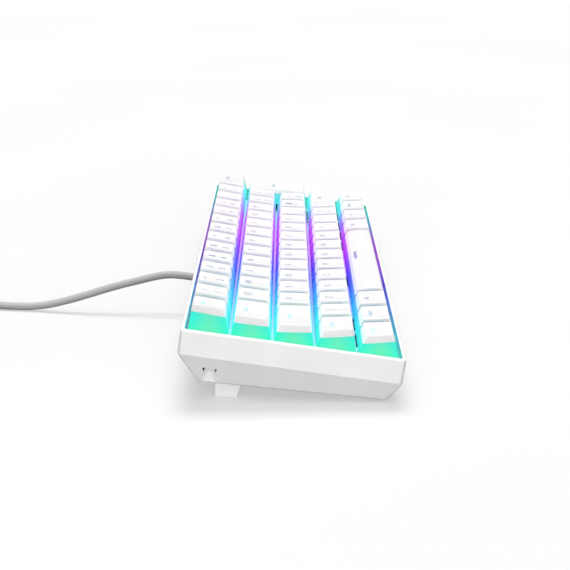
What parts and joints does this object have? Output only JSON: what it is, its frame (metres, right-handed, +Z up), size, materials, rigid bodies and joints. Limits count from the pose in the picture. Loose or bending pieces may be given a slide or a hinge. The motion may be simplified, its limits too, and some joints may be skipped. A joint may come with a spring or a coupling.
{
  "type": "mechanical keyboard",
  "caption": "Compact back-lit desk keyboard in a white tray case, with sprung two-tone keys, fold-out tilt feet and a fixed cable ending in a USB plug",
  "frame": {"origin": "on the desk under the middle of the keyboard, cable left out", "axes": "+X along the key rows to the right end, +Y away from the typist to the back, +Z up from the desk"},
  "size_m": [0.2906, 0.3013, 0.0456],
  "materials": {
    "case_plastic": "fine satin grain",
    "keycap_plastic": "white top shot over a clear, back-lit skirt",
    "plate_paint": "white powder coat",
    "board": "dark solder mask",
    "black_plastic": "moulded, matte",
    "led_lens": "clear lens",
    "steel": "drawn wire and turned steel",
    "rubber": "matte grey",
    "header_plastic": "moulded nylon",
    "cable_braid": "braided sleeve",
    "tie_fabric": "hook-and-loop strip",
    "plug_plastic": "moulded grip",
    "shell_steel": "plated sheet"
  },
  "bodies": {
    "case": {"bottom_case": "case_plastic", "switch_plate": "plate_paint", "circuit_board": "board", "controller_chip": "black_plastic", "backlight_leds": "led_lens", "switch_housings": "black_plastic", "switch_springs": "steel", "stabiliser_housings": "black_plastic", "case_screws": "steel", "rubber_pads": "rubber", "cable_grommet": "rubber", "cable_header": "header_plastic", "usb_cable": "cable_braid", "cable_coil": "cable_braid", "cable_tie": "tie_fabric", "usb_a_plug": "plug_plastic", "usb_a_shell": "shell_steel"},
    "tilt_foot_left": {"tilt_foot_left": "case_plastic"},
    "tilt_foot_right": {"tilt_foot_right": "case_plastic"},
    "key_escape": {"key_escape": "keycap_plastic"},
    "key_backspace": {"key_backspace": "keycap_plastic"},
    "key_tab": {"key_tab": "keycap_plastic"},
    "key_caps_lock": {"key_caps_lock": "keycap_plastic"},
    "key_enter": {"key_enter": "keycap_plastic"},
    "key_left_shift": {"key_left_shift": "keycap_plastic"},
    "key_right_shift": {"key_right_shift": "keycap_plastic"},
    "key_space": {"key_space": "keycap_plastic"},
    "number_keys": {"number_keys": "keycap_plastic"},
    "punctuation_keys": {"punctuation_keys": "keycap_plastic"},
    "modifier_keys": {"modifier_keys": "keycap_plastic"},
    "key_q": {"key_q": "keycap_plastic"},
    "key_w": {"key_w": "keycap_plastic"},
    "key_e": {"key_e": "keycap_plastic"},
    "key_r": {"key_r": "keycap_plastic"},
    "key_t": {"key_t": "keycap_plastic"},
    "key_y": {"key_y": "keycap_plastic"},
    "key_u": {"key_u": "keycap_plastic"},
    "key_i": {"key_i": "keycap_plastic"},
    "key_o": {"key_o": "keycap_plastic"},
    "key_p": {"key_p": "keycap_plastic"},
    "key_a": {"key_a": "keycap_plastic"},
    "key_s": {"key_s": "keycap_plastic"},
    "key_d": {"key_d": "keycap_plastic"},
    "key_f": {"key_f": "keycap_plastic"},
    "key_g": {"key_g": "keycap_plastic"},
    "key_h": {"key_h": "keycap_plastic"},
    "key_j": {"key_j": "keycap_plastic"},
    "key_k": {"key_k": "keycap_plastic"},
    "key_l": {"key_l": "keycap_plastic"},
    "key_z": {"key_z": "keycap_plastic"},
    "key_x": {"key_x": "keycap_plastic"},
    "key_c": {"key_c": "keycap_plastic"},
    "key_v": {"key_v": "keycap_plastic"},
    "key_b": {"key_b": "keycap_plastic"},
    "key_n": {"key_n": "keycap_plastic"},
    "key_m": {"key_m": "keycap_plastic"},
    "wire_backspace": {"wire_backspace": "steel"},
    "wire_enter": {"wire_enter": "steel"},
    "wire_right_shift": {"wire_right_shift": "steel"},
    "wire_space": {"wire_space": "steel"}
  },
  "joints": [
    {"name": "tilt_foot_left_fold", "type": "hinge", "parent": "case", "child": "tilt_foot_left", "pos_m": [-0.1342, 0.02805, 0.01021], "axis": [0, -0.9958, -0.0921], "range_deg": [0, 90]},
    {"name": "tilt_foot_right_fold", "type": "hinge", "parent": "case", "child": "tilt_foot_right", "pos_m": [0.1342, 0.02805, 0.01021], "axis": [0, 0.9958, 0.0921], "range_deg": [0, 90]},
    {"name": "key_escape_press", "type": "slide", "parent": "case", "child": "key_escape", "axis": [0, 0.1392, -0.9903], "range_m": [0, 0.004], "stiffness_N_per_m": 75, "springref_m": -0.004},
    {"name": "key_backspace_press", "type": "slide", "parent": "case", "child": "key_backspace", "axis": [0, 0.1392, -0.9903], "range_m": [0, 0.004], "stiffness_N_per_m": 75, "springref_m": -0.004},
    {"name": "key_tab_press", "type": "slide", "parent": "case", "child": "key_tab", "axis": [0, 0.1392, -0.9903], "range_m": [0, 0.004], "stiffness_N_per_m": 75, "springref_m": -0.004},
    {"name": "key_caps_lock_press", "type": "slide", "parent": "case", "child": "key_caps_lock", "axis": [0, 0.1392, -0.9903], "range_m": [0, 0.004], "stiffness_N_per_m": 75, "springref_m": -0.004},
    {"name": "key_enter_press", "type": "slide", "parent": "case", "child": "key_enter", "axis": [0, 0.1392, -0.9903], "range_m": [0, 0.004], "stiffness_N_per_m": 75, "springref_m": -0.004},
    {"name": "key_left_shift_press", "type": "slide", "parent": "case", "child": "key_left_shift", "axis": [0, 0.1392, -0.9903], "range_m": [0, 0.004], "stiffness_N_per_m": 75, "springref_m": -0.004},
    {"name": "key_right_shift_press", "type": "slide", "parent": "case", "child": "key_right_shift", "axis": [0, 0.1392, -0.9903], "range_m": [0, 0.004], "stiffness_N_per_m": 75, "springref_m": -0.004},
    {"name": "key_space_press", "type": "slide", "parent": "case", "child": "key_space", "axis": [0, 0.1392, -0.9903], "range_m": [0, 0.004], "stiffness_N_per_m": 75, "springref_m": -0.004},
    {"name": "number_keys_press", "type": "slide", "parent": "case", "child": "number_keys", "axis": [0, 0.1392, -0.9903], "range_m": [0, 0.004], "stiffness_N_per_m": 900, "springref_m": -0.004},
    {"name": "punctuation_keys_press", "type": "slide", "parent": "case", "child": "punctuation_keys", "axis": [0, 0.1392, -0.9903], "range_m": [0, 0.004], "stiffness_N_per_m": 675, "springref_m": -0.004},
    {"name": "modifier_keys_press", "type": "slide", "parent": "case", "child": "modifier_keys", "axis": [0, 0.1392, -0.9903], "range_m": [0, 0.004], "stiffness_N_per_m": 525, "springref_m": -0.004},
    {"name": "key_q_press", "type": "slide", "parent": "case", "child": "key_q", "axis": [0, 0.1392, -0.9903], "range_m": [0, 0.004], "stiffness_N_per_m": 75, "springref_m": -0.004},
    {"name": "key_w_press", "type": "slide", "parent": "case", "child": "key_w", "axis": [0, 0.1392, -0.9903], "range_m": [0, 0.004], "stiffness_N_per_m": 75, "springref_m": -0.004},
    {"name": "key_e_press", "type": "slide", "parent": "case", "child": "key_e", "axis": [0, 0.1392, -0.9903], "range_m": [0, 0.004], "stiffness_N_per_m": 75, "springref_m": -0.004},
    {"name": "key_r_press", "type": "slide", "parent": "case", "child": "key_r", "axis": [0, 0.1392, -0.9903], "range_m": [0, 0.004], "stiffness_N_per_m": 75, "springref_m": -0.004},
    {"name": "key_t_press", "type": "slide", "parent": "case", "child": "key_t", "axis": [0, 0.1392, -0.9903], "range_m": [0, 0.004], "stiffness_N_per_m": 75, "springref_m": -0.004},
    {"name": "key_y_press", "type": "slide", "parent": "case", "child": "key_y", "axis": [0, 0.1392, -0.9903], "range_m": [0, 0.004], "stiffness_N_per_m": 75, "springref_m": -0.004},
    {"name": "key_u_press", "type": "slide", "parent": "case", "child": "key_u", "axis": [0, 0.1392, -0.9903], "range_m": [0, 0.004], "stiffness_N_per_m": 75, "springref_m": -0.004},
    {"name": "key_i_press", "type": "slide", "parent": "case", "child": "key_i", "axis": [0, 0.1392, -0.9903], "range_m": [0, 0.004], "stiffness_N_per_m": 75, "springref_m": -0.004},
    {"name": "key_o_press", "type": "slide", "parent": "case", "child": "key_o", "axis": [0, 0.1392, -0.9903], "range_m": [0, 0.004], "stiffness_N_per_m": 75, "springref_m": -0.004},
    {"name": "key_p_press", "type": "slide", "parent": "case", "child": "key_p", "axis": [0, 0.1392, -0.9903], "range_m": [0, 0.004], "stiffness_N_per_m": 75, "springref_m": -0.004},
    {"name": "key_a_press", "type": "slide", "parent": "case", "child": "key_a", "axis": [0, 0.1392, -0.9903], "range_m": [0, 0.004], "stiffness_N_per_m": 75, "springref_m": -0.004},
    {"name": "key_s_press", "type": "slide", "parent": "case", "child": "key_s", "axis": [0, 0.1392, -0.9903], "range_m": [0, 0.004], "stiffness_N_per_m": 75, "springref_m": -0.004},
    {"name": "key_d_press", "type": "slide", "parent": "case", "child": "key_d", "axis": [0, 0.1392, -0.9903], "range_m": [0, 0.004], "stiffness_N_per_m": 75, "springref_m": -0.004},
    {"name": "key_f_press", "type": "slide", "parent": "case", "child": "key_f", "axis": [0, 0.1392, -0.9903], "range_m": [0, 0.004], "stiffness_N_per_m": 75, "springref_m": -0.004},
    {"name": "key_g_press", "type": "slide", "parent": "case", "child": "key_g", "axis": [0, 0.1392, -0.9903], "range_m": [0, 0.004], "stiffness_N_per_m": 75, "springref_m": -0.004},
    {"name": "key_h_press", "type": "slide", "parent": "case", "child": "key_h", "axis": [0, 0.1392, -0.9903], "range_m": [0, 0.004], "stiffness_N_per_m": 75, "springref_m": -0.004},
    {"name": "key_j_press", "type": "slide", "parent": "case", "child": "key_j", "axis": [0, 0.1392, -0.9903], "range_m": [0, 0.004], "stiffness_N_per_m": 75, "springref_m": -0.004},
    {"name": "key_k_press", "type": "slide", "parent": "case", "child": "key_k", "axis": [0, 0.1392, -0.9903], "range_m": [0, 0.004], "stiffness_N_per_m": 75, "springref_m": -0.004},
    {"name": "key_l_press", "type": "slide", "parent": "case", "child": "key_l", "axis": [0, 0.1392, -0.9903], "range_m": [0, 0.004], "stiffness_N_per_m": 75, "springref_m": -0.004},
    {"name": "key_z_press", "type": "slide", "parent": "case", "child": "key_z", "axis": [0, 0.1392, -0.9903], "range_m": [0, 0.004], "stiffness_N_per_m": 75, "springref_m": -0.004},
    {"name": "key_x_press", "type": "slide", "parent": "case", "child": "key_x", "axis": [0, 0.1392, -0.9903], "range_m": [0, 0.004], "stiffness_N_per_m": 75, "springref_m": -0.004},
    {"name": "key_c_press", "type": "slide", "parent": "case", "child": "key_c", "axis": [0, 0.1392, -0.9903], "range_m": [0, 0.004], "stiffness_N_per_m": 75, "springref_m": -0.004},
    {"name": "key_v_press", "type": "slide", "parent": "case", "child": "key_v", "axis": [0, 0.1392, -0.9903], "range_m": [0, 0.004], "stiffness_N_per_m": 75, "springref_m": -0.004},
    {"name": "key_b_press", "type": "slide", "parent": "case", "child": "key_b", "axis": [0, 0.1392, -0.9903], "range_m": [0, 0.004], "stiffness_N_per_m": 75, "springref_m": -0.004},
    {"name": "key_n_press", "type": "slide", "parent": "case", "child": "key_n", "axis": [0, 0.1392, -0.9903], "range_m": [0, 0.004], "stiffness_N_per_m": 75, "springref_m": -0.004},
    {"name": "key_m_press", "type": "slide", "parent": "case", "child": "key_m", "axis": [0, 0.1392, -0.9903], "range_m": [0, 0.004], "stiffness_N_per_m": 75, "springref_m": -0.004},
    {"name": "wire_backspace_swing", "type": "hinge", "parent": "case", "child": "wire_backspace", "pos_m": [0.12383, 0.04614, 0.02863], "axis": [1, 0, 0], "range_deg": [0, 29.22]},
    {"name": "wire_enter_swing", "type": "hinge", "parent": "case", "child": "wire_enter", "pos_m": [0.12227, 0.00923, 0.02344], "axis": [0, 0.9903, 0.1392], "range_deg": [0, 29.22]},
    {"name": "wire_right_shift_swing", "type": "hinge", "parent": "case", "child": "wire_right_shift", "pos_m": [0.11668, -0.01045, 0.02067], "axis": [1, 0, 0], "range_deg": [0, 29.22]},
    {"name": "wire_space_swing", "type": "hinge", "parent": "case", "child": "wire_space", "pos_m": [-0.01191, -0.04655, 0.0156], "axis": [-1, 0, 0], "range_deg": [0, 29.22]}
  ],
  "couplings": [
    {"joint": "wire_backspace_swing", "follows": "key_backspace_press", "rad_per_m": 127.06},
    {"joint": "wire_enter_swing", "follows": "key_enter_press", "rad_per_m": 127.06},
    {"joint": "wire_right_shift_swing", "follows": "key_right_shift_press", "rad_per_m": 127.06},
    {"joint": "wire_space_swing", "follows": "key_space_press", "rad_per_m": 127.06}
  ]
}
